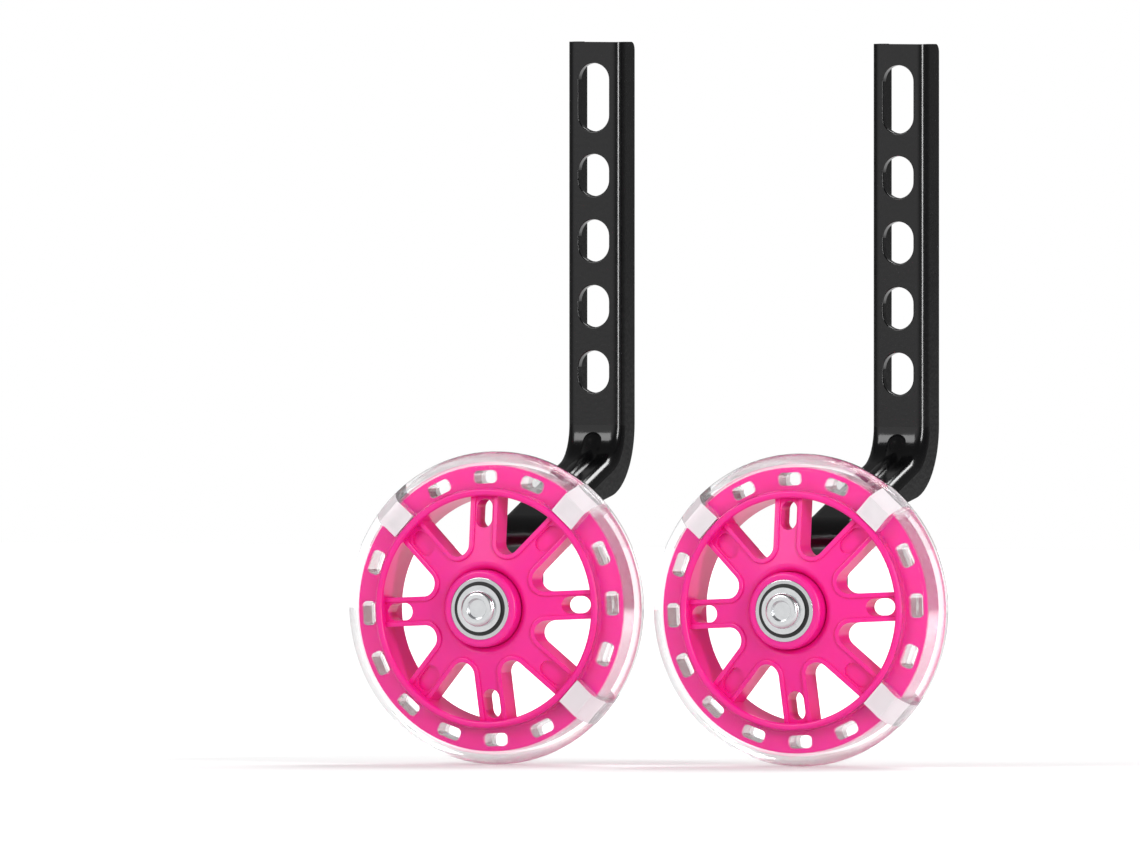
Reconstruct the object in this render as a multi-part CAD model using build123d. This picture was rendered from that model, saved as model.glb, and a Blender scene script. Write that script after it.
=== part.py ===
from build123d import *
import os
from math import asin, cos, degrees, isclose, radians, sin, sqrt

# A pair of bicycle training wheels. Each unit is a pressed steel channel arm, slotted for the
# rear axle of a bicycle, and a moulded spoked wheel with a clear cast tyre that runs on two
# ball bearings on a bolt.
#
# Frame, in millimetres: +Z is up, and the wheels turn about Y with their outer faces towards -Y.
# The origin is the middle of the left arm's row of short slots, on the front face of its web.

# The pair
pair_gap = 5.6
wheel_phase = 2.5

# Arm: a U-channel whose web faces the front, bent forward and then down behind the wheel
arm_width = 21.0
arm_depth = 12.5
sheet = 3.0
corner_radius = 4.0
top_margin = 19.4
top_corner_radius = 3.0
slot_width = 11.5
short_slot_length = 14.8
short_slot_count = 4
slot_pitch = 23.0
long_slot_length = 24.0
long_slot_rise = 27.3
slot_edge_radius = 0.5
axle_drop = 116.0
wheel_offset = 88.8
bend_angle = 70.0
upper_bend_radius = 13.0
lower_bend_radius = 15.0
flange_sweep_radius = 25.6
flange_corner_drop = 21.0
tongue_width = 17.0
tongue_height = 18.0
rib_width = 7.0
rib_height = 1.6
rib_start_angle = 25.0
rib_run = 26.0

# Wheel: moulded core, cast tyre and the clear light blocks between them
tyre_radius = 55.0
tyre_width = 21.0
crown_radius = 13.0
shoulder_radius = 3.0
bead_recess = 0.3
rim_wall = 2.6
rim_width = 19.6
lip_radius = 1.0
flange_cover = 4.8
flange_height = 8.0
flange_thickness = 10.0
rim_slot_length = 8.6
rim_slot_width = 4.6
rim_slot_corner = 1.6
hub_width = 31.0
boss_wall = 2.6
boss_height = 3.5
boss_edge_radius = 1.3
boss_root_radius = 2.5
web_thickness = 8.0
web_inset = 3.5
spoke_count = 8
spoke_width = 10.2
window_root_radius = 4.4
bead_width = 1.7
bead_height = 0.8
bead_edge_radius = 0.5
spoke_slot_length = 10.2
spoke_slot_width = 6.0
spoke_slot_inset = 6.2
dimple_depth = 1.2
light_angles = (45.0, 135.0, -45.0)
light_width = 10.0
light_band = 1.4
tread_cover = 1.0
bevel_inset = 0.4
board_width = 8.0
board_height = 4.6
board_thickness = 1.0
led_width = 3.5
led_length = 2.8
led_height = 1.0

# Ball bearings
bearing_bore = 8.0
bearing_diameter = 22.0
bearing_width = 7.0
ball_diameter = 3.969
ball_count = 7
race_shoulder_share = 0.72
race_edge_radius = 0.3
seal_seat_wall = 1.45
seal_rebate = 1.0
seal_thickness = 0.65
seal_recess = 0.25
cage_wall = 1.1
cage_back = 2.45
cage_front = 1.3

# Bolt and its hardware
bolt_length = 55.0
bolt_chamfer = 0.8
head_diameter = 12.6
head_height = 2.2
head_round = 1.5
dish_diameter = 7.5
dish_depth = 1.2
washer_diameter = 16.4
washer_thickness = 0.8
collar_diameter = 12.0
collar_length = 4.0
spring_washer_diameter = 14.1
spring_washer_thickness = 2.0
spring_washer_gap = 1.2
spring_washer_slant = 20.0
nut_across_flats = 13.0
nut_height = 6.5

# Clearances
running_clearance = 0.03
shaft_clearance = 0.02
hole_clearance = 0.2
seal_clearance = 0.12
pocket_clearance = 0.08
bond_line = 0.06
board_clearance = 0.2
cut_margin = 3.0

# Places worked out from the sizes above
pair_pitch = 2 * tyre_radius + pair_gap
arm_top = slot_pitch * (short_slot_count - 1) / 2 + long_slot_rise + top_margin
axle_radius = bearing_bore / 2 - shaft_clearance
hole_radius = bearing_bore / 2 + hole_clearance
flange_radius = tyre_radius - flange_cover
rim_outer_radius = flange_radius - flange_height
rim_inner_radius = rim_outer_radius - rim_wall
web_radius = rim_inner_radius + rim_wall / 2
bead_radius = rim_inner_radius + rim_wall / 4
spoke_slot_radius = rim_inner_radius - spoke_slot_inset
rim_slot_radius = (rim_outer_radius + flange_radius) / 2
boss_radius = bearing_diameter / 2 + boss_wall
spoke_step = 360 / spoke_count
rim_step = spoke_step / 2
rim_positions = 2 * spoke_count
ball_radius = ball_diameter / 2
ball_circle = (bearing_bore + bearing_diameter) / 4
bearing_centre = (hub_width - bearing_width) / 2
inner_shoulder = ball_circle - race_shoulder_share * ball_radius
outer_shoulder = ball_circle + race_shoulder_share * ball_radius
seal_seat = bearing_diameter / 2 - seal_seat_wall
light_inner = rim_outer_radius + hole_clearance
light_outer = tyre_radius - tread_cover
light_half_depth = rim_width / 2

# The arm's side view: the front face of the web runs down, bends forward, slopes, and bends down
turn = radians(bend_angle)
tongue_y = hub_width / 2 + collar_length - wheel_offset
tongue_top = tongue_height - axle_drop
slope_end = (tongue_y + lower_bend_radius * (1 - cos(turn)), tongue_top + lower_bend_radius * sin(turn))
slope_start_y = -upper_bend_radius * (1 - cos(turn))
slope_length = (slope_start_y - slope_end[0]) / sin(turn)
bend_top = slope_end[1] + slope_length * cos(turn) + upper_bend_radius * sin(turn)


def prism(outline, y_low, y_high):
    """A flat outline, drawn in X and Z, carried along Y."""
    return Pos(0, y_high, 0) * extrude(Plane.XZ * outline, y_high - y_low)


def tube(outer_radius, inner_radius, y_low, y_high):
    return prism(Circle(outer_radius) - Circle(inner_radius), y_low, y_high)


def band(r_low, r_high, y_low, y_high):
    """A rectangle in a turned profile, where X is the radius."""
    size = Rectangle(r_high - r_low, y_high - y_low, align=(Align.MIN, Align.MIN))
    return Pos(r_low, y_low) * size


def rounded(profile, radius, r, y):
    """The profile with its corners at (r, y) and (r, -y) rounded."""
    at_radius = [v for v in profile.vertices() if isclose(v.X, r, abs_tol=1e-6)]
    return fillet([v for v in at_radius if isclose(abs(v.Y), y, abs_tol=1e-6)], radius)


def turned(profile):
    return revolve(profile, Axis.Y)


def around(angle):
    """A turn about the wheel's axis that takes +X towards +Z."""
    return Rot(0, -angle, 0)


def web_point(angle):
    """A point of the upper bend's front face, at this much of its turn."""
    a = radians(angle)
    return Vector(0, -upper_bend_radius * (1 - cos(a)), bend_top - upper_bend_radius * sin(a))


def section_plane(point, angle):
    """The plane across the web at a point, with X across the arm and Y into the sheet."""
    a = radians(angle)
    return Plane(origin=point, x_dir=(1, 0, 0), z_dir=(0, sin(a), cos(a)))


def channel_section(depth):
    """The U-section, with its front face on X and its flanges towards +Y."""
    outer = Pos(0, depth / 2) * Rectangle(arm_width, depth)
    outer = fillet([v for v in outer.vertices() if isclose(v.Y, 0, abs_tol=1e-6)], corner_radius)
    inner_width = arm_width - 2 * sheet
    inner = Pos(0, sheet + depth / 2) * Rectangle(inner_width, depth)
    inner_corners = [v for v in inner.vertices() if isclose(v.Y, sheet, abs_tol=1e-6)]
    return outer - fillet(inner_corners, corner_radius - sheet)


def channel_arm():
    top = Vector(0, 0, arm_top)
    bend_start = web_point(0)
    bend_end = web_point(bend_angle)
    slope_foot = Vector(0, *slope_end)
    upper_path = Wire([
        Edge.make_line(top, bend_start),
        Edge.make_three_point_arc(bend_start, web_point(bend_angle / 2), bend_end),
        Edge.make_line(bend_end, slope_foot),
    ])
    upper = sweep(Pos(0, 0, arm_top) * channel_section(arm_depth + cut_margin), path=upper_path)

    # the flanges' free edges run down, curve forward and die out at the foot of the slope
    foot = (slope_end[0] + sheet * cos(turn), slope_end[1] - sheet * sin(turn))
    knee = (arm_depth, bend_top - flange_corner_drop)
    beyond = tuple(end + (end - start) / 2 for start, end in zip(knee, foot))
    back = arm_depth + arm_width
    relief = Polygon(
        (arm_depth, arm_top + cut_margin),
        knee,
        beyond,
        (beyond[0], beyond[1] - arm_width),
        (back, beyond[1] - arm_width),
        (back, arm_top + cut_margin),
        align=None,
    )
    at_knee = [v for v in relief.vertices() if isclose(v.X, knee[0]) and isclose(v.Y, knee[1])]
    relief = fillet(at_knee, flange_sweep_radius)
    upper -= extrude(Plane.YZ * relief, arm_width, both=True)

    # below the slope only the web goes on, bends down and becomes the tongue for the wheel's bolt
    half = radians(bend_angle / 2)
    bend_middle = Vector(
        0,
        tongue_y + lower_bend_radius * (1 - cos(half)),
        tongue_top + lower_bend_radius * sin(half),
    )
    tongue_start = Vector(0, tongue_y, tongue_top)
    tip = Vector(0, tongue_y, -axle_drop - tongue_width)
    lower_path = Wire([
        Edge.make_three_point_arc(slope_foot, bend_middle, tongue_start),
        Edge.make_line(tongue_start, tip),
    ])
    plate = channel_section(arm_depth) & Rectangle(arm_width, 2 * sheet)
    lower = sweep(section_plane(slope_foot, bend_angle) * plate, path=lower_path)
    below = Pos(0, slope_end[1]) * Rectangle(2 * arm_width, 2 * axle_drop, align=(Align.CENTER, Align.MAX))
    tongue = Polygon(
        (-arm_width / 2, slope_end[1]),
        (-tongue_width / 2, tongue_top),
        (-tongue_width / 2, -axle_drop),
        (tongue_width / 2, -axle_drop),
        (tongue_width / 2, tongue_top),
        (arm_width / 2, slope_end[1]),
        align=None,
    )
    tongue += Pos(0, -axle_drop) * Circle(tongue_width / 2)
    lower -= prism(below - tongue, tongue_y - cut_margin, slope_end[0] + 2 * sheet)
    lower -= Pos(0, 0, -axle_drop) * prism(Circle(hole_radius), tongue_y - cut_margin, tongue_y + arm_depth)

    arm = upper + lower
    arm -= axle_slots()
    arm += stiffening_rib()
    arm -= rib_groove()
    top_edges = [
        e for e in arm.edges().filter_by(Axis.X)
        if isclose(e.center().Z, arm_top, abs_tol=1e-4) and isclose(e.center().Y, arm_depth, abs_tol=1e-4)
    ]
    return fillet(top_edges, top_corner_radius)


def slot_cutter(length):
    """A slot's cutter, flared at the front of the web so that it leaves a rounded mouth."""
    outline = SlotOverall(length, slot_width, rotation=90)
    collar = prism(offset(outline, 2 * slot_edge_radius), -cut_margin, 0)
    cutter = prism(outline, -cut_margin, sheet + cut_margin) + collar
    step = [f for f in cutter.faces() if isclose(f.center().Y, 0, abs_tol=1e-6) and f.inner_wires()]
    return fillet(step[0].inner_wires()[0].edges(), slot_edge_radius)


def axle_slots():
    """The row of short slots and the long one above it, through the web."""
    first = -slot_pitch * (short_slot_count - 1) / 2
    heights = [first + i * slot_pitch for i in range(short_slot_count)]
    short_slots = [Pos(0, 0, height) * slot_cutter(short_slot_length) for height in heights]
    long_slot = Pos(0, 0, -first + long_slot_rise) * slot_cutter(long_slot_length)
    return short_slots + [long_slot]


def rib_path():
    """The rib's line on the front face: out of the upper bend and down the slope."""
    start = web_point(rib_start_angle)
    bend_end = web_point(bend_angle)
    end = bend_end + Vector(0, -sin(turn), -cos(turn)) * rib_run
    middle = web_point((rib_start_angle + bend_angle) / 2)
    path = Wire([Edge.make_three_point_arc(start, middle, bend_end), Edge.make_line(bend_end, end)])
    return path, section_plane(start, rib_start_angle), section_plane(end, bend_angle)


def rib_circle():
    """Radius of the rib's round back, and the depth of its centre in the sheet."""
    radius = ((rib_width / 2) ** 2 + rib_height ** 2) / (2 * rib_height)
    return radius, radius - rib_height


def stiffening_rib():
    """The ridge that is pressed out of the web, with round ends."""
    path, start, end = rib_path()
    radius, depth = rib_circle()
    front = Pos(0, sheet / 2) * Rectangle(3 * radius, 3 * radius, align=(Align.CENTER, Align.MAX))
    rib = sweep(start * ((Pos(0, depth) * Circle(radius)) & front), path=path)
    side = 3 * radius
    keep = Pos(0, sheet / 2, 0) * Box(side, side, side, align=(Align.CENTER, Align.MAX, Align.CENTER))
    for plane in (start, end):
        rib += plane * ((Pos(0, depth, 0) * Sphere(radius)) & keep)
    return rib


def rib_groove():
    """The hollow that the pressing leaves behind the rib."""
    path, start, end = rib_path()
    radius, depth = rib_circle()
    hollow = radius - sheet
    groove = sweep(start * Pos(0, depth) * Circle(hollow), path=path)
    for plane in (start, end):
        groove += plane * Pos(0, depth, 0) * Sphere(hollow)
    return groove


def web_front(r):
    """The dished web's front face: it stands out towards the hub."""
    at_boss = boss_height - hub_width / 2
    at_rim = web_inset - rim_width / 2
    return at_rim + (at_boss - at_rim) * (rim_inner_radius - r) / (rim_inner_radius - boss_radius)


def dished_web(r_high, lift):
    """The web's section out to a radius, with both faces raised by the lift."""
    inner, outer = web_front(boss_radius), web_front(r_high)
    return Polygon(
        (boss_radius, inner - lift),
        (boss_radius, inner + web_thickness + lift),
        (r_high, outer + web_thickness + lift),
        (r_high, outer - lift),
        align=None,
    )


def window_outline():
    """One opening between two spokes, the first above +X, carried on past the web's edge in the rim."""
    radius = rim_outer_radius
    middle = radians(spoke_step / 2)
    edge = asin(spoke_width / 2 / radius)
    root_radius = spoke_width / 2 / sin(middle)

    def at(r, angle):
        return Vector(r * cos(angle), r * sin(angle))

    root = at(root_radius, middle)
    low, high = at(radius, edge), at(radius, 2 * middle - edge)
    outline = make_face([
        Edge.make_line(root, low),
        Edge.make_three_point_arc(low, at(radius, middle), high),
        Edge.make_line(high, root),
    ])
    nearest = outline.vertices().sort_by_distance(root)
    return fillet(nearest[0:1], window_root_radius)


def rim_slot_outline(shrink):
    length = rim_slot_length - 2 * shrink
    width = rim_slot_width - 2 * shrink
    return Pos(rim_slot_radius, 0) * RectangleRounded(width, length, rim_slot_corner - shrink)


def rim_slot_angles():
    """Every step around the rim that holds no light."""
    lights = [angle % 360 for angle in light_angles]
    return [i * rim_step for i in range(rim_positions) if i * rim_step not in lights]


def hub_and_spokes():
    """The hub, with its bearing pockets, and the dished web cut into spokes with raised edges."""
    pocket = bearing_diameter / 2 + shaft_clearance / 2
    inner_face = hub_width / 2 - bearing_width
    profile = band(seal_seat, boss_radius, -hub_width / 2, hub_width / 2) + dished_web(web_radius, 0)
    profile -= band(0, pocket, inner_face, hub_width)
    profile -= band(0, pocket, -hub_width, -inner_face)
    root = web_front(boss_radius)
    profile = rounded(profile, boss_edge_radius, boss_radius, hub_width / 2)
    profile = rounded(profile, boss_root_radius, boss_radius, abs(root))
    profile = rounded(profile, boss_root_radius, boss_radius, abs(root + web_thickness))
    hub = turned(profile)

    window = window_outline()
    raised = prism(offset(window, bead_width), -hub_width, hub_width)
    raised &= turned(dished_web(bead_radius, bead_height))
    faces = raised.faces().sort_by(Axis.Y)
    hidden = raised.faces().sort_by_distance((0, 0, 0))[-1].edges()
    shown = [e for face in (faces[0], faces[-1]) for e in face.edges() if e not in hidden]
    raised = fillet(shown, bead_edge_radius)
    opening = prism(window, -hub_width, hub_width)
    hub += [around(i * spoke_step) * raised for i in range(spoke_count)]
    hub -= [around(i * spoke_step) * opening for i in range(spoke_count)]

    # every other spoke is slotted through, and the ones between have the slot as a shallow recess
    slot = Pos(spoke_slot_radius, 0) * SlotOverall(spoke_slot_length, spoke_slot_width)
    through = prism(slot, -hub_width, hub_width)
    recess = through - turned(dished_web(web_radius, -dimple_depth))
    for i in range(spoke_count):
        cut = through if i % 2 == 0 else recess
        hub -= around(i * spoke_step) * cut
    return hub


def slotted_rim():
    """The rim and its outer flange, with the slots that lock the tyre and the holes for the lights."""
    profile = band(rim_inner_radius, rim_outer_radius, -rim_width / 2, rim_width / 2)
    profile += band(rim_outer_radius, flange_radius, -flange_thickness / 2, flange_thickness / 2)
    profile = rounded(profile, lip_radius, rim_inner_radius, rim_width / 2)
    profile = rounded(profile, lip_radius, rim_outer_radius, rim_width / 2)
    rim = turned(profile)
    slot = prism(rim_slot_outline(0), -flange_thickness, flange_thickness)
    for angle in rim_slot_angles():
        rim -= around(angle) * slot
    light_top = flange_radius - light_band
    light_hole = Pos((light_inner + light_top) / 2, 0)
    light_hole *= Rectangle(light_top - light_inner, light_width + 2 * bond_line)
    for angle in light_angles:
        rim -= around(angle) * prism(light_hole, -flange_thickness, flange_thickness)
    return rim


def wheel_core():
    return hub_and_spokes() + slotted_rim()


def crown_at(y):
    """The tread's radius at this distance from the wheel's middle."""
    return tyre_radius - crown_radius + sqrt(crown_radius ** 2 - y ** 2)


def tyre():
    """Clear tyre, cast round the core's flange and through its slots."""
    side = tyre_width / 2
    bead = rim_outer_radius + bond_line
    bead_half = rim_width / 2 - bead_recess
    section = make_face([
        Edge.make_three_point_arc((crown_at(side), -side), (tyre_radius, 0), (crown_at(side), side)),
        Edge.make_line((crown_at(side), side), (bead, bead_half)),
        Edge.make_line((bead, bead_half), (bead, -bead_half)),
        Edge.make_line((bead, -bead_half), (crown_at(side), -side)),
    ])
    section = rounded(section, shoulder_radius, crown_at(side), side)
    groove_half = flange_thickness / 2 + bond_line
    section -= band(0, flange_radius + bond_line, -groove_half, groove_half)
    casting = turned(section)
    plug = prism(rim_slot_outline(bond_line), -groove_half - bond_line, groove_half + bond_line)
    for angle in rim_slot_angles():
        casting += around(angle) * plug
    pocket = Pos(light_outer + bond_line, 0, 0)
    pocket *= Box(
        light_outer, tyre_width + cut_margin, light_width + 2 * bond_line,
        align=(Align.MAX, Align.CENTER, Align.CENTER),
    )
    for angle in light_angles:
        casting -= around(angle) * pocket
    return casting


def light_lens():
    """Clear block that straddles the core's outer band, bevelled to lie within the tread."""
    half = light_half_depth
    bevel_start = crown_at(half) - bevel_inset
    crown_centre = tyre_radius - crown_radius
    bevel_half = sqrt(crown_radius ** 2 - (light_outer - crown_centre) ** 2) - bevel_inset
    profile = Polygon(
        (light_inner, -half),
        (bevel_start, -half),
        (light_outer, -bevel_half),
        (light_outer, bevel_half),
        (bevel_start, half),
        (light_inner, half),
        align=None,
    )
    band_half = flange_thickness / 2 + bond_line
    band_low = flange_radius - light_band - bond_line
    profile -= band(band_low, flange_radius + bond_line, -band_half, band_half)
    block = extrude(profile, light_width / 2, both=True)
    pocket_half = board_thickness / 2 + led_height + board_clearance
    pocket_top = light_inner + board_height + 2 * board_clearance
    pocket = band(0, pocket_top, -pocket_half, pocket_half)
    return block - extrude(pocket, board_width / 2 + board_clearance, both=True)


def light_board():
    """Flasher board with a light-emitting chip on each face."""
    middle = light_inner + board_clearance + board_height / 2
    board = Pos(middle, 0, 0) * Box(board_height, board_thickness, board_width)
    return board + Pos(middle, 0, 0) * Box(led_length, board_thickness + 2 * led_height, led_width)


def race_profile(r_low, r_high):
    """A race's section with the ball groove in it."""
    half = bearing_width / 2
    return band(r_low, r_high, -half, half) - Pos(ball_circle, 0) * Circle(ball_radius + running_clearance)


def outer_race():
    half = bearing_width / 2
    profile = race_profile(outer_shoulder, bearing_diameter / 2)
    for low in (-half, half - seal_rebate):
        profile -= band(0, seal_seat, low, low + seal_rebate)
    return turned(rounded(profile, race_edge_radius, bearing_diameter / 2, half))


def inner_race():
    profile = race_profile(bearing_bore / 2, inner_shoulder)
    return turned(rounded(profile, race_edge_radius, bearing_bore / 2, bearing_width / 2))


def at_balls(shape):
    return [around(i * 360 / ball_count) * Pos(ball_circle, 0, 0) * shape for i in range(ball_count)]


def balls():
    return Compound(children=at_balls(Sphere(ball_radius)))


def cage():
    """Crown cage: a ring whose pockets are open on one side."""
    ring = tube(ball_circle + cage_wall / 2, ball_circle - cage_wall / 2, -cage_front, cage_back)
    for pocket in at_balls(Sphere(ball_radius + pocket_clearance)):
        ring -= pocket
    return ring


def seals():
    """The two lip seals that close the bearing's faces."""
    outside = bearing_width / 2 - seal_recess
    outer, inner = seal_seat - shaft_clearance, inner_shoulder + seal_clearance
    front = tube(outer, inner, -outside, seal_thickness - outside)
    rear = tube(outer, inner, outside - seal_thickness, outside)
    return Compound(children=[front, rear])


def axle_bolt():
    """Bolt with a low round head, dished in the middle, through the wheel and the tongue."""
    seat = -hub_width / 2 - washer_thickness
    head_radius = head_diameter / 2
    dish_radius = dish_diameter / 2
    floor = dish_depth - head_height
    head = Polygon(
        (0, 0), (0, floor), (dish_radius - dish_depth / 2, floor), (dish_radius, -head_height),
        (head_radius, -head_height), (head_radius, 0),
        align=None,
    )
    rim = [v for v in head.vertices() if isclose(v.X, head_radius) and isclose(v.Y, -head_height)]
    head = fillet(rim, head_round)
    shank = Polygon(
        (0, floor), (axle_radius, floor),
        (axle_radius, bolt_length - bolt_chamfer),
        (axle_radius - bolt_chamfer, bolt_length), (0, bolt_length),
        align=None,
    )
    shank -= band(0, head_radius, -head_height, 0)
    return Pos(0, seat, 0) * (turned(head) + turned(shank))


def head_washer():
    face = -hub_width / 2
    return tube(washer_diameter / 2, hole_radius, face - washer_thickness, face)


def bearing_spacer():
    half = hub_width / 2 - bearing_width
    return tube(collar_diameter / 2, hole_radius, -half, half)


def axle_collar():
    face = hub_width / 2
    return tube(collar_diameter / 2, hole_radius, face, face + collar_length)


def spring_washer(y_low):
    """Split washer, pressed flat, with its slanted gap."""
    ring = tube(spring_washer_diameter / 2, hole_radius, y_low, y_low + spring_washer_thickness)
    gap = Box(
        spring_washer_gap, 3 * spring_washer_thickness, spring_washer_diameter,
        align=(Align.CENTER, Align.CENTER, Align.MIN),
    )
    return ring - Pos(0, y_low + spring_washer_thickness / 2, 0) * Rot(0, 0, spring_washer_slant) * gap


def axle_nut(y_low):
    """Hexagon nut with the corners of both faces turned down."""
    flat = nut_across_flats / 2
    corner = flat / cos(radians(30))
    drop = (corner - flat) * sin(radians(30))
    turned_corners = Polygon(
        (0, 0), (flat, 0), (corner, drop), (corner, nut_height - drop), (flat, nut_height), (0, nut_height),
        align=None,
    )
    bar = prism(RegularPolygon(flat, 6, major_radius=False), 0, nut_height) & turned(turned_corners)
    return Pos(0, y_low, 0) * (bar - prism(Circle(axle_radius + running_clearance), 0, nut_height))


def wheel_pieces():
    """Pieces on the wheel's axis, with the wheel's middle at the origin, before the phase is set."""
    arm_back = hub_width / 2 + collar_length + sheet
    pieces = {
        "wheel_core": wheel_core(),
        "tyre": tyre(),
        "axle_bolt": axle_bolt(),
        "head_washer": head_washer(),
        "bearing_spacer": bearing_spacer(),
        "axle_collar": axle_collar(),
        "spring_washer": spring_washer(arm_back),
        "axle_nut": axle_nut(arm_back + spring_washer_thickness),
    }
    lens, board = light_lens(), light_board()
    for number, angle in enumerate(light_angles, start=1):
        pieces[f"light_lens_{number}"] = around(angle) * lens
        pieces[f"light_board_{number}"] = around(angle) * board
    bearing = {
        "outer_race": outer_race(),
        "inner_race": inner_race(),
        "balls": balls(),
        "cage": cage(),
        "seals": seals(),
    }
    for name, piece in bearing.items():
        pieces[f"front_{name}"] = Pos(0, -bearing_centre, 0) * piece
        pieces[f"rear_{name}"] = Pos(0, bearing_centre, 0) * piece
    return pieces


def unit_pieces():
    """All pieces of the left unit, in place."""
    at_axle = Pos(0, -wheel_offset, -axle_drop) * around(wheel_phase)
    placed = {name: at_axle * piece for name, piece in wheel_pieces().items()}
    placed["arm"] = channel_arm()
    return placed


os.makedirs("parts", exist_ok=True)
for piece_name, piece_shape in unit_pieces().items():
    export_step(piece_shape, f"parts/left_{piece_name}.step")
    export_step(Pos(pair_pitch, 0, 0) * piece_shape, f"parts/right_{piece_name}.step")
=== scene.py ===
# %% [markdown]
# # Bicycle training wheels
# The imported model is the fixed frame: every solid is already in place, in metres. This lesson dresses it.
# It gives each piece the finish of its real material, cuts a real thread on the bolt's tail, and sets up
# a plain white studio with the camera where the photograph was taken from.

# %% Load the frame
from math import cos, radians, sin, tau

import bmesh
import bpy
from mathutils import Matrix, Vector


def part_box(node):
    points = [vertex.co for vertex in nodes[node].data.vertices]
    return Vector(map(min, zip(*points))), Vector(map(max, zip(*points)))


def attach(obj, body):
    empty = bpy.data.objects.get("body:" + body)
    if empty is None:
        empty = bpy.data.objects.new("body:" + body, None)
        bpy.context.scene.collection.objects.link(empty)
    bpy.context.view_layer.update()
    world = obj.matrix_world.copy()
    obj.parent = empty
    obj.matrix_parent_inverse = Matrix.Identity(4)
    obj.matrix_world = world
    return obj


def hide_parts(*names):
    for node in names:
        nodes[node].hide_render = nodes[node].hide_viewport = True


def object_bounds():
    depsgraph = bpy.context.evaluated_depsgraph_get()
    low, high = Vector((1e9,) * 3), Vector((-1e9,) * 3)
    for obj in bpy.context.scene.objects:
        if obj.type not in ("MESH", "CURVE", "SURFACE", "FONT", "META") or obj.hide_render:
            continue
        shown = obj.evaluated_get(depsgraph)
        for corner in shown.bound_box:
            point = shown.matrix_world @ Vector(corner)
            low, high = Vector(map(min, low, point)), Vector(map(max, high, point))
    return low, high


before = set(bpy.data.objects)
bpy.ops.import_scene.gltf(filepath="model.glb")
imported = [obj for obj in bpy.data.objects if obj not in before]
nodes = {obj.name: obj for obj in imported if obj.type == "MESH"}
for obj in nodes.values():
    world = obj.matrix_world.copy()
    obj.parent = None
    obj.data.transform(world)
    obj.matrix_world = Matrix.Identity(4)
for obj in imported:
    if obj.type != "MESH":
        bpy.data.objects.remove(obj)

MM = 0.001
SIDES = ("left", "right")
cad_low, cad_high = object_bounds()
print("CAD box, mm:", [round(v / MM, 1) for v in cad_high - cad_low])


# %% [markdown]
# ## Small helpers
# Colours are written as sRGB hex, as a colour picker shows them, and shaders want linear light, so one
# function converts them. A second one adds a node with its settings and links in one call, which keeps
# the material recipes short enough to read.

# %% Colours and nodes
def linear(hex_colour):
    """sRGB hex to a linear RGBA colour."""
    channels = [int(hex_colour[i:i + 2], 16) / 255 for i in (1, 3, 5)]
    return [c / 12.92 if c <= 0.04045 else ((c + 0.055) / 1.055) ** 2.4 for c in channels] + [1.0]


def add(tree, kind, inputs=None, **settings):
    """A new node: settings are its properties, inputs are values or the sockets to link."""
    made = tree.nodes.new(kind)
    for name, value in settings.items():
        setattr(made, name, value)
    for socket, value in (inputs or {}).items():
        if isinstance(value, bpy.types.NodeSocket):
            tree.links.new(value, made.inputs[socket])
        else:
            made.inputs[socket].default_value = value
    return made


print("middle grey #808080 in linear light:", round(linear("#808080")[0], 3))


# %% [markdown]
# ## What every finish is made of
# A finish starts as a Principled shader whose constant values sit on its own sockets. Noise on the piece's
# own coordinates then varies the colour and the gloss, and lifts the surface a few thousandths of a
# millimetre. Every noise is given the real size of its blotches, so the recipes read in millimetres.

# %% Finish helpers
# The Mix node holds a set of sockets for each kind of value, and these are the ones for colours
COLOUR_A, COLOUR_B, COLOUR_RESULT = 6, 7, 2


def start_material(name, **constants):
    """A material whose constant values sit on the shader's own sockets."""
    material = bpy.data.materials.new(name)
    material.use_nodes = True
    tree = material.node_tree
    shader = tree.nodes["Principled BSDF"]
    for socket, value in constants.items():
        shader.inputs[socket.replace("_", " ")].default_value = value
    print("finish:", name)
    return material, tree, shader


def speckle(tree, size_mm, detail=2.0):
    """Noise whose blotches are about size_mm across, on the piece's own coordinates."""
    place = add(tree, "ShaderNodeTexCoord").outputs["Object"]
    scale = 1 / (size_mm * MM)
    return add(tree, "ShaderNodeTexNoise", {"Vector": place, "Scale": scale, "Detail": detail}).outputs["Fac"]


def tint(tree, shader, pattern, dark, light):
    """Base colour between two shades, mixed by a pattern."""
    mix = add(tree, "ShaderNodeMix", {"Factor": pattern}, data_type="RGBA")
    mix.inputs[COLOUR_A].default_value = linear(dark)
    mix.inputs[COLOUR_B].default_value = linear(light)
    tree.links.new(mix.outputs[COLOUR_RESULT], shader.inputs["Base Color"])


def vary_roughness(tree, shader, pattern, low, high):
    """Roughness between two values, spread by a pattern."""
    spread = add(tree, "ShaderNodeMapRange", {"Value": pattern, "To Min": low, "To Max": high})
    tree.links.new(spread.outputs["Result"], shader.inputs["Roughness"])


def emboss(tree, shader, pattern, height_mm):
    """A bump as high as the real surface's unevenness."""
    bump = add(tree, "ShaderNodeBump", {"Height": pattern, "Distance": height_mm * MM, "Strength": 1.0})
    tree.links.new(bump.outputs["Normal"], shader.inputs["Normal"])


# %% [markdown]
# ## The arm's black enamel
# The arms are pressed from steel sheet and stove-enamelled in gloss black. Sprayed enamel levels out but
# keeps a faint ripple, called orange peel, a millimetre or two across. It is what breaks up reflections on
# a real painted part, so the bump has that size, and the gloss varies a little from place to place.

# %% Black enamel
enamel, tree, shader = start_material("black_stove_enamel_on_steel", IOR=1.5)
tint(tree, shader, speckle(tree, size_mm=24.0), dark="#040405", light="#0A0A0B")
vary_roughness(tree, shader, speckle(tree, size_mm=7.0), low=0.12, high=0.20)
emboss(tree, shader, speckle(tree, size_mm=1.6, detail=0.0), height_mm=0.012)


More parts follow.
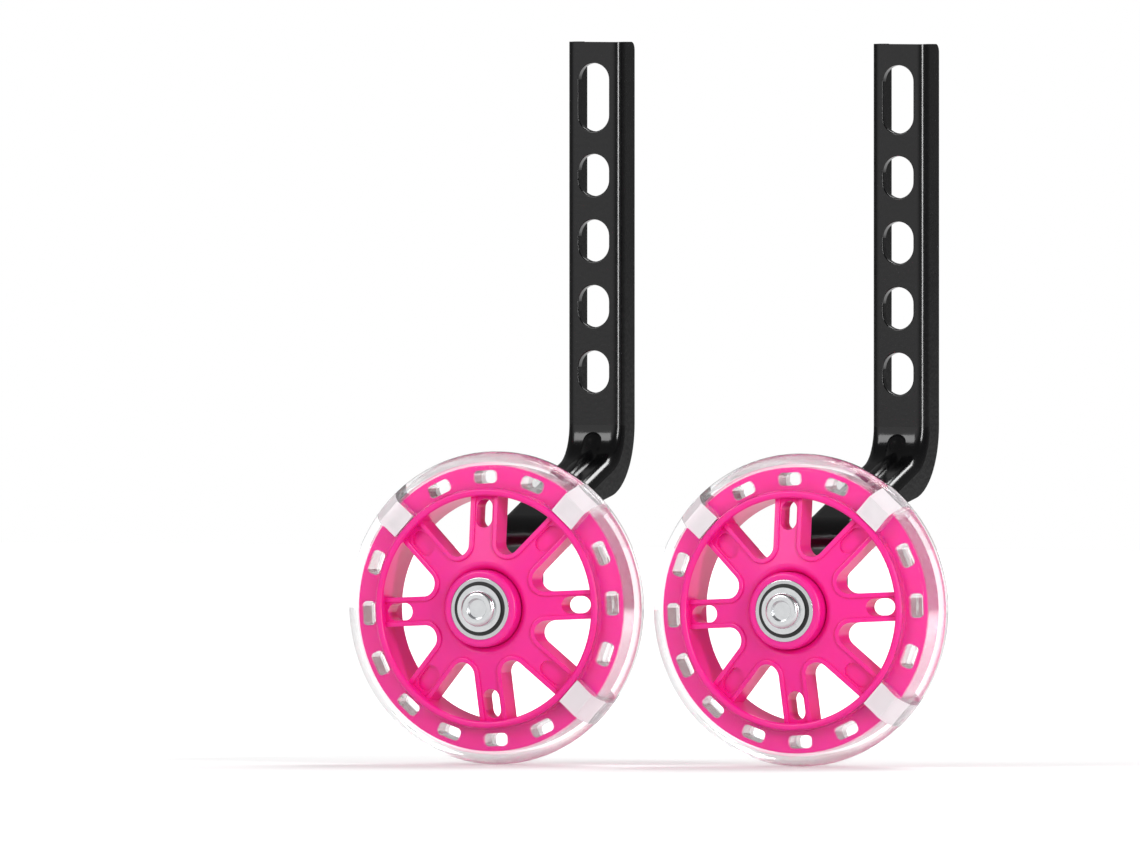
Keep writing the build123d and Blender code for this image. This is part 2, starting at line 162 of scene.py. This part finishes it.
# %% [markdown]
# ## The core's pink plastic
# The wheel's core is injection-moulded polypropylene, dyed through. Moulded plastic has a soft gloss, a
# colour that drifts slightly with the flow of the melt, and the fine spark-eroded grain of the tool. Light
# travels a few millimetres inside it before it comes out again, which softens the shading of thin edges.

# %% Pink plastic
GLOW_DEPTH = 4 * MM
pink, tree, shader = start_material(
    "pink_moulded_polypropylene", IOR=1.49, Subsurface_Weight=0.3, Subsurface_Scale=GLOW_DEPTH,
)
tint(tree, shader, speckle(tree, size_mm=36.0), dark="#E50F87", light="#EE2095")
vary_roughness(tree, shader, speckle(tree, size_mm=5.0), low=0.26, high=0.36)
emboss(tree, shader, speckle(tree, size_mm=0.7, detail=1.0), height_mm=0.008)


# %% [markdown]
# ## The clear tyre
# The tyre is cast polyurethane, colourless and clear. Polyurethane's own IOR is near 1.5, and a lower one is
# used here, so that the thick ring bends what is behind it less and stays pale, as in the photograph. The
# tyre is faint where it is looked at squarely and shows more where it is seen edge-on, so Layer Weight sets
# how solid it is. The casting keeps a slight waviness, which bends what is seen through it.

# %% Clear tyre
SQUARE_ON, EDGE_ON = 0.4, 0.9
SQUARE_ON_SOLIDITY, EDGE_ON_SOLIDITY = 0.35, 1.0
clear_tyre, tree, shader = start_material(
    "clear_cast_polyurethane", IOR=1.3, Transmission_Weight=1.0, Base_Color=linear("#FBFCFD"),
)
turned_away = add(tree, "ShaderNodeLayerWeight", {"Blend": 0.5}).outputs["Facing"]
solidity = add(tree, "ShaderNodeMapRange", {
    "Value": turned_away,
    "From Min": SQUARE_ON,
    "From Max": EDGE_ON,
    "To Min": SQUARE_ON_SOLIDITY,
    "To Max": EDGE_ON_SOLIDITY,
})
tree.links.new(solidity.outputs["Result"], shader.inputs["Alpha"])
vary_roughness(tree, shader, speckle(tree, size_mm=9.0), low=0.03, high=0.08)
emboss(tree, shader, speckle(tree, size_mm=11.0, detail=0.0), height_mm=0.06)


# %% [markdown]
# ## The light blocks
# The blocks that carry the lights are moulded polycarbonate with a milky body, which spreads the light and
# looks nearly white by day. Most of the shader is therefore a pale plastic, a quarter of it refracts, and a
# little of what lies behind shows straight through. As on the tyre, the IOR is below the real plastic's.

# %% Light blocks
milky_block, tree, shader = start_material(
    "milky_moulded_polycarbonate", IOR=1.25, Transmission_Weight=0.25, Alpha=0.85,
    Base_Color=linear("#FEF9FC"),
)
vary_roughness(tree, shader, speckle(tree, size_mm=4.0), low=0.10, high=0.20)
emboss(tree, shader, speckle(tree, size_mm=6.0, detail=0.0), height_mm=0.03)


# %% [markdown]
# ## Steels
# The bolt, nut and washers are zinc plated: bright, slightly milky, with a cloudy variation from the bath.
# The bearing's rings and balls are ground and smoother, so they have no bump.

# %% Steels
zinc, tree, shader = start_material("bright_zinc_plated_steel", Metallic=1.0)
tint(tree, shader, speckle(tree, size_mm=3.0), dark="#D2D4D6", light="#E6E7E8")
vary_roughness(tree, shader, speckle(tree, size_mm=1.2), low=0.18, high=0.30)
emboss(tree, shader, speckle(tree, size_mm=0.6), height_mm=0.006)

ground, tree, shader = start_material("ground_bearing_steel", Metallic=1.0)
tint(tree, shader, speckle(tree, size_mm=4.0), dark="#D0D1D3", light="#DCDDDF")
vary_roughness(tree, shader, speckle(tree, size_mm=0.8), low=0.10, high=0.18)


# %% [markdown]
# ## The small pieces inside
# The bearings' seals are black nitrile rubber on a steel disc, their cages are nylon, and each light block
# holds a white circuit board. They are hardly seen, but each still gets its own surface.

# %% Rubber, nylon and board
nitrile, tree, shader = start_material("black_nitrile_rubber", IOR=1.52)
tint(tree, shader, speckle(tree, size_mm=2.0), dark="#151515", light="#222222")
vary_roughness(tree, shader, speckle(tree, size_mm=1.0), low=0.45, high=0.6)
emboss(tree, shader, speckle(tree, size_mm=0.5), height_mm=0.01)

nylon, tree, shader = start_material("natural_nylon", IOR=1.53)
tint(tree, shader, speckle(tree, size_mm=3.0), dark="#DDD3B8", light="#E8E0C8")
vary_roughness(tree, shader, speckle(tree, size_mm=1.0), low=0.4, high=0.5)

board, tree, shader = start_material("white_solder_mask_board", IOR=1.5)
tint(tree, shader, speckle(tree, size_mm=1.5), dark="#E6E8E6", light="#F4F5F3")
vary_roughness(tree, shader, speckle(tree, size_mm=0.8), low=0.3, high=0.45)


# %% [markdown]
# ## Dress the solids
# Each solid keeps its shape, so dressing it only means putting a material in its slots. A word in a node's
# name says what the piece is. The pieces that have none of these words are plated hardware.

# %% Dress the solids
FINISH = {
    "arm": enamel,
    "wheel_core": pink,
    "tyre": clear_tyre,
    "light_lens": milky_block,
    "light_board": board,
    "outer_race": ground,
    "inner_race": ground,
    "balls": ground,
    "cage": nylon,
    "seals": nitrile,
}


def finish_of(node_name):
    for word, material in FINISH.items():
        if word in node_name:
            return material
    return zinc


for name, solid in nodes.items():
    solid.data.materials.clear()
    solid.data.materials.append(finish_of(name))
print("dressed", len(nodes), "solids")


# %% [markdown]
# ## Threads on the bolts' tails
# The solids leave threads out, but a bolt's tail stands out behind its nut, and there its thread shows.
# A thread follows a rule: the radius falls and rises once for each pitch along the axis, and the pattern
# slides round with the angle. Geometry Nodes suit that, because a flat grid can be rolled up by a formula.
# The M8 coarse thread has a pitch of 1.25 mm, and here it is cut 0.68 mm deep, with a flat crest and root.

# %% The thread's rule
PITCH = 1.25 * MM
DEPTH = 0.68 * MM
# Places between the middle of the crest, at 0, and the middle of the root, at 1
CREST_ENDS, ROOT_STARTS = 0.12, 0.8


def calc(tree, operation, first, second=0.0):
    return add(tree, "ShaderNodeMath", {0: first, 1: second}, operation=operation).outputs[0]


def root_radius(tree, given):
    return calc(tree, "SUBTRACT", given["Radius"], given["Depth"])


def thread_radius(tree, given, height, around):
    """The thread's radius at a height and a share of the turn, run out to the root at both ends."""
    turns = calc(tree, "DIVIDE", height, given["Pitch"])
    phase = calc(tree, "FRACT", calc(tree, "SUBTRACT", turns, around))
    flank = calc(tree, "MULTIPLY", calc(tree, "ABSOLUTE", calc(tree, "SUBTRACT", phase, 0.5)), 2.0)
    groove = add(tree, "ShaderNodeMapRange", {
        "Value": flank, "From Min": CREST_ENDS, "From Max": ROOT_STARTS,
    }).outputs["Result"]
    cut = calc(tree, "MULTIPLY", groove, given["Depth"])
    full = calc(tree, "SUBTRACT", given["Radius"], cut)
    near_end = calc(tree, "MINIMUM", height, calc(tree, "SUBTRACT", given["Length"], height))
    return calc(tree, "MINIMUM", full, calc(tree, "ADD", root_radius(tree, given), near_end))


print("thread: pitch", PITCH / MM, "mm, depth", DEPTH / MM, "mm")


# %% [markdown]
# ## Roll the grid up
# The tree takes a flat grid, reads each point's place as a share of the turn and of the length, and moves
# it to where the rule says. Two discs close the ends, and the points along the seam are merged.

# %% The thread's node tree
AROUND, ALONG = 49, 81
SEAM_GAP = 0.005 * MM


def thread_inputs(tree):
    face = tree.interface
    face.new_socket("Geometry", in_out="OUTPUT", socket_type="NodeSocketGeometry")
    for label in ("Radius", "Length", "Pitch", "Depth"):
        face.new_socket(label, in_out="INPUT", socket_type="NodeSocketFloat")
    face.new_socket("Material", in_out="INPUT", socket_type="NodeSocketMaterial")
    return add(tree, "NodeGroupInput").outputs


def rolled_wall(tree, given):
    """The grid, one unit each way about its middle, rolled into the thread's surface."""
    grid = add(tree, "GeometryNodeMeshGrid", {"Vertices X": AROUND, "Vertices Y": ALONG})
    flat = add(tree, "ShaderNodeSeparateXYZ", {0: add(tree, "GeometryNodeInputPosition").outputs[0]}).outputs
    around = calc(tree, "ADD", flat["X"], 0.5)
    along = calc(tree, "ADD", flat["Y"], 0.5)
    height = calc(tree, "MULTIPLY", along, given["Length"])
    radius = thread_radius(tree, given, height, around)
    angle = calc(tree, "MULTIPLY", around, tau)
    rolled = add(tree, "ShaderNodeCombineXYZ", {
        "X": calc(tree, "MULTIPLY", radius, calc(tree, "COSINE", angle)),
        "Y": height,
        "Z": calc(tree, "MULTIPLY", radius, calc(tree, "SINE", angle)),
    }).outputs[0]
    return add(tree, "GeometryNodeSetPosition", {"Geometry": grid.outputs["Mesh"], "Position": rolled})


def thread_tree():
    tree = bpy.data.node_groups.new("rolled_thread", "GeometryNodeTree")
    given = thread_inputs(tree)
    wall = rolled_wall(tree, given)
    root = root_radius(tree, given)
    disc = add(tree, "GeometryNodeMeshCircle", {"Vertices": AROUND - 1, "Radius": root}, fill_type="NGON")
    joined = add(tree, "GeometryNodeJoinGeometry", {0: wall.outputs["Geometry"]})
    for place in (0.0, given["Length"]):
        spot = add(tree, "ShaderNodeCombineXYZ", {"Y": place})
        cap = add(tree, "GeometryNodeTransform", {
            "Geometry": disc.outputs["Mesh"], "Translation": spot.outputs[0], "Rotation": (tau / 4, 0, 0),
        })
        tree.links.new(cap.outputs["Geometry"], joined.inputs[0])
    closed = add(tree, "GeometryNodeMergeByDistance", {"Geometry": joined.outputs[0], "Distance": SEAM_GAP})
    real = add(tree, "GeometryNodeRealizeInstances", {"Geometry": closed.outputs[0]}).outputs[0]
    painted = add(tree, "GeometryNodeSetMaterial", {"Geometry": real, "Material": given["Material"]})
    add(tree, "NodeGroupOutput", {"Geometry": painted.outputs[0]})
    return tree


thread = thread_tree()
print("thread tree:", len(thread.nodes), "nodes")


# %% [markdown]
# ## From tree to mesh
# A modifier runs the tree on an empty holder. The modifier's inputs are set by their identifiers, because
# two inputs may share a name, and the evaluated result is copied out as a plain mesh. The holder then goes.

# %% Threaded tail
def threaded_tail(radius, length):
    """The node tree's result as a plain mesh, with its start at the origin."""
    holder = bpy.data.objects.new("tail", bpy.data.meshes.new("tail"))
    bpy.context.collection.objects.link(holder)
    modifier = holder.modifiers.new("thread", "NODES")
    modifier.node_group = thread
    values = {"Radius": radius, "Length": length, "Pitch": PITCH, "Depth": DEPTH, "Material": zinc}
    for item in thread.interface.items_tree:
        if item.name in values:
            modifier[item.identifier] = values[item.name]
    ready = holder.evaluated_get(bpy.context.evaluated_depsgraph_get())
    mesh = bpy.data.meshes.new_from_object(ready)
    bpy.data.objects.remove(holder)
    print("threaded tail:", round(length / MM, 1), "mm long,", len(mesh.polygons), "faces")
    return mesh


# %% [markdown]
# ## Bolts with their threads
# The bolt keeps the solid's head and shank up to the middle of the nut, where a plane cuts a copy of the
# mesh and the cut is closed. The rolled thread takes over from there, hidden by the nut, so nothing shows
# the change. Corners sharper than a limit stay crisp, and the rest is shaded smooth.

# %% Threaded bolts
WELD_GAP = 0.002 * MM
CUT_SLACK = 0.001 * MM
NEAR_CUT = 0.01 * MM
CRISP_CORNER = radians(35)


def shank_up_to(solid, cut_y):
    """A welded copy of a bolt's mesh, cut off at cut_y and closed there."""
    shape = bmesh.new()
    shape.from_mesh(solid.data)
    bmesh.ops.remove_doubles(shape, verts=shape.verts, dist=WELD_GAP)
    whole = shape.verts[:] + shape.edges[:] + shape.faces[:]
    plane = {"plane_co": (0, cut_y, 0), "plane_no": (0, 1, 0)}
    bmesh.ops.bisect_plane(shape, geom=whole, dist=CUT_SLACK, clear_outer=True, **plane)
    bmesh.ops.holes_fill(shape, edges=[e for e in shape.edges if e.is_boundary])
    return shape


def shade_smooth(shape):
    bmesh.ops.recalc_face_normals(shape, faces=shape.faces)
    for edge in shape.edges:
        edge.smooth = len(edge.link_faces) == 2 and edge.calc_face_angle() < CRISP_CORNER
    for face in shape.faces:
        face.smooth = True


def threaded_bolt(side):
    bolt_low, bolt_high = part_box(f"{side}_axle_bolt")
    nut_low, nut_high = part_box(f"{side}_axle_nut")
    bolt_middle = (bolt_low + bolt_high) / 2
    cut_y = (nut_low.y + nut_high.y) / 2
    shape = shank_up_to(nodes[f"{side}_axle_bolt"], cut_y)
    shank_radius = max(v.co.x - bolt_middle.x for v in shape.verts if abs(v.co.y - cut_y) < NEAR_CUT)
    tail = threaded_tail(shank_radius, bolt_high.y - cut_y)
    tail.transform(Matrix.Translation((bolt_middle.x, cut_y, bolt_middle.z)))
    shape.from_mesh(tail)
    shade_smooth(shape)
    mesh = bpy.data.meshes.new(f"{side}_threaded_bolt")
    shape.to_mesh(mesh)
    shape.free()
    mesh.materials.append(zinc)
    bolt = bpy.data.objects.new(f"{side}_threaded_bolt", mesh)
    bpy.context.collection.objects.link(bolt)
    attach(bolt, "frame")
    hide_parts(f"{side}_axle_bolt")
    return len(mesh.polygons)


print("threaded bolts, faces:", [threaded_bolt(side) for side in SIDES])


# %% [markdown]
# ## Studio floor
# The floor is a large sheet of matt white paper. Near the object it is lit by the lamps, with only a little
# glow of its own, so the shadow shows. Further out the glow rises to full white, and the floor's far edge
# can't be told from the backdrop. Only the eye, straight or through clear plastic, meets that glow.

# %% Floor
FLOOR_SIZE = 8
# Metres from the object's middle between which the glow rises, and its level at each
RISE_STARTS, RISE_ENDS = 0.2, 0.5
GLOW_BY_OBJECT, GLOW_FAR_OFF = 0.1, 1.0
middle = (cad_low + cad_high) / 2
bpy.ops.mesh.primitive_plane_add(size=FLOOR_SIZE, location=(middle.x, middle.y, cad_low.z))
floor = bpy.context.object
floor.name = "studio_floor"
paper, tree, shader = start_material("matt_white_paper", Roughness=0.9, Base_Color=linear("#EDEDED"))
place = add(tree, "ShaderNodeTexCoord").outputs["Object"]
distance = add(tree, "ShaderNodeVectorMath", {0: place}, operation="LENGTH").outputs["Value"]
whiteness = add(tree, "ShaderNodeMapRange", {
    "Value": distance,
    "From Min": RISE_STARTS,
    "From Max": RISE_ENDS,
    "To Min": GLOW_BY_OBJECT,
    "To Max": GLOW_FAR_OFF,
}).outputs["Result"]
path = add(tree, "ShaderNodeLightPath").outputs
seen = calc(tree, "MAXIMUM", path["Is Camera Ray"], path["Is Transmission Ray"])
glow = add(tree, "ShaderNodeEmission", {"Strength": calc(tree, "MULTIPLY", whiteness, seen)})
both = add(tree, "ShaderNodeAddShader", {0: shader.outputs[0], 1: glow.outputs[0]})
tree.links.new(both.outputs[0], tree.nodes["Material Output"].inputs["Surface"])
floor.data.materials.append(paper)
print("floor at", round(cad_low.z / MM, 1), "mm")


# %% [markdown]
# ## Studio room
# To the eye, straight or through clear plastic, the room is white. Polished pieces need something to
# mirror, so reflected rays meet a bright card at the front left, which fades into a dim room, and that is
# what draws the highlights on the black arms. As a lamp the room gives half its light.

# %% World
# The heading of the card's middle, and the cosines of the angles to it where the card fades out and is full
CARD_SIDE = (-0.38, -0.92, 0)
CARD_EDGE, CARD_MIDDLE = 0.6, 0.95
ROOM_LEVEL, CARD_LEVEL = 0.12, 0.95
LAMP_LEVEL = 0.5
world = bpy.data.worlds.new("white_studio")
bpy.context.scene.world = world
world.use_nodes = True
tree = world.node_tree
heading = add(tree, "ShaderNodeTexCoord").outputs["Generated"]
towards = add(tree, "ShaderNodeVectorMath", {0: heading, 1: CARD_SIDE}, operation="DOT_PRODUCT")
card = add(tree, "ShaderNodeMapRange", {
    "Value": towards.outputs["Value"],
    "From Min": CARD_EDGE,
    "From Max": CARD_MIDDLE,
    "To Min": ROOM_LEVEL,
    "To Max": CARD_LEVEL,
}).outputs["Result"]
path = add(tree, "ShaderNodeLightPath").outputs
seen = calc(tree, "MAXIMUM", path["Is Camera Ray"], path["Is Transmission Ray"])
mirrored = calc(tree, "MULTIPLY", path["Is Glossy Ray"], card)
lit = calc(tree, "MULTIPLY", path["Is Diffuse Ray"], LAMP_LEVEL)
level = calc(tree, "MAXIMUM", calc(tree, "MAXIMUM", seen, mirrored), lit)
background = tree.nodes["Background"]
background.inputs["Color"].default_value = linear("#FFFFFF")
tree.links.new(level, background.inputs["Strength"])
print("world:", world.name)


# %% [markdown]
# ## Studio lamps
# Three soft boxes aim at the object's middle: a broad one at the front left, a narrow upright one at the
# right, which edges the arms and the tyre, and one above and behind, which lifts the top edges.

# %% Lamps
def soft_box(name, place, width, height, watts):
    lamp = bpy.data.lights.new(name, "AREA")
    lamp.shape = "RECTANGLE"
    lamp.size = width
    lamp.size_y = height
    lamp.energy = watts
    holder = bpy.data.objects.new(name, lamp)
    bpy.context.collection.objects.link(holder)
    holder.location = place
    holder.rotation_euler = (middle - Vector(place)).to_track_quat("-Z", "Y").to_euler()
    print(name, watts, "W")


soft_box("key_box", place=(-0.7, -1.3, 0.9), width=0.9, height=0.7, watts=10)
soft_box("strip_box", place=(1.4, -0.9, 0.3), width=0.25, height=0.9, watts=13)
soft_box("top_box", place=(0.15, 0.95, 1.15), width=0.7, height=0.7, watts=14)


# %% [markdown]
# ## Camera
# Both units look the same in the photograph, so there is no perspective in it: an orthographic camera,
# turned about the upright axis, gives that. Its centre is found from where the left wheel's middle lies in
# the picture, and its width from the picture's scale.

# %% Camera
FRAME_WIDTH, FRAME_HEIGHT = 1140, 855
PIXELS_PER_MM = 2.85
WHEEL_AT = (496.6, 608.0)
AZIMUTH, ELEVATION = radians(22.5), radians(1.0)
CAMERA_DISTANCE = 3.0
PIXEL = MM / PIXELS_PER_MM
tyre_low, tyre_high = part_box("left_tyre")
wheel_middle = (tyre_low + tyre_high) / 2
back = Vector((sin(AZIMUTH) * cos(ELEVATION), -cos(AZIMUTH) * cos(ELEVATION), sin(ELEVATION)))
right = Vector((cos(AZIMUTH), sin(AZIMUTH), 0))
up = back.cross(right)
shift_right = (FRAME_WIDTH / 2 - WHEEL_AT[0]) * PIXEL
shift_up = (WHEEL_AT[1] - FRAME_HEIGHT / 2) * PIXEL
lens = bpy.data.cameras.new("photo_camera")
lens.type = "ORTHO"
lens.ortho_scale = FRAME_WIDTH * PIXEL
camera = bpy.data.objects.new("photo_camera", lens)
bpy.context.collection.objects.link(camera)
camera.location = wheel_middle + right * shift_right + up * shift_up + back * CAMERA_DISTANCE
camera.rotation_euler = (-back).to_track_quat("-Z", "Y").to_euler()
bpy.context.scene.camera = camera
bpy.context.scene.view_settings.view_transform = "Standard"
print("camera takes in", round(lens.ortho_scale / MM), "mm across")
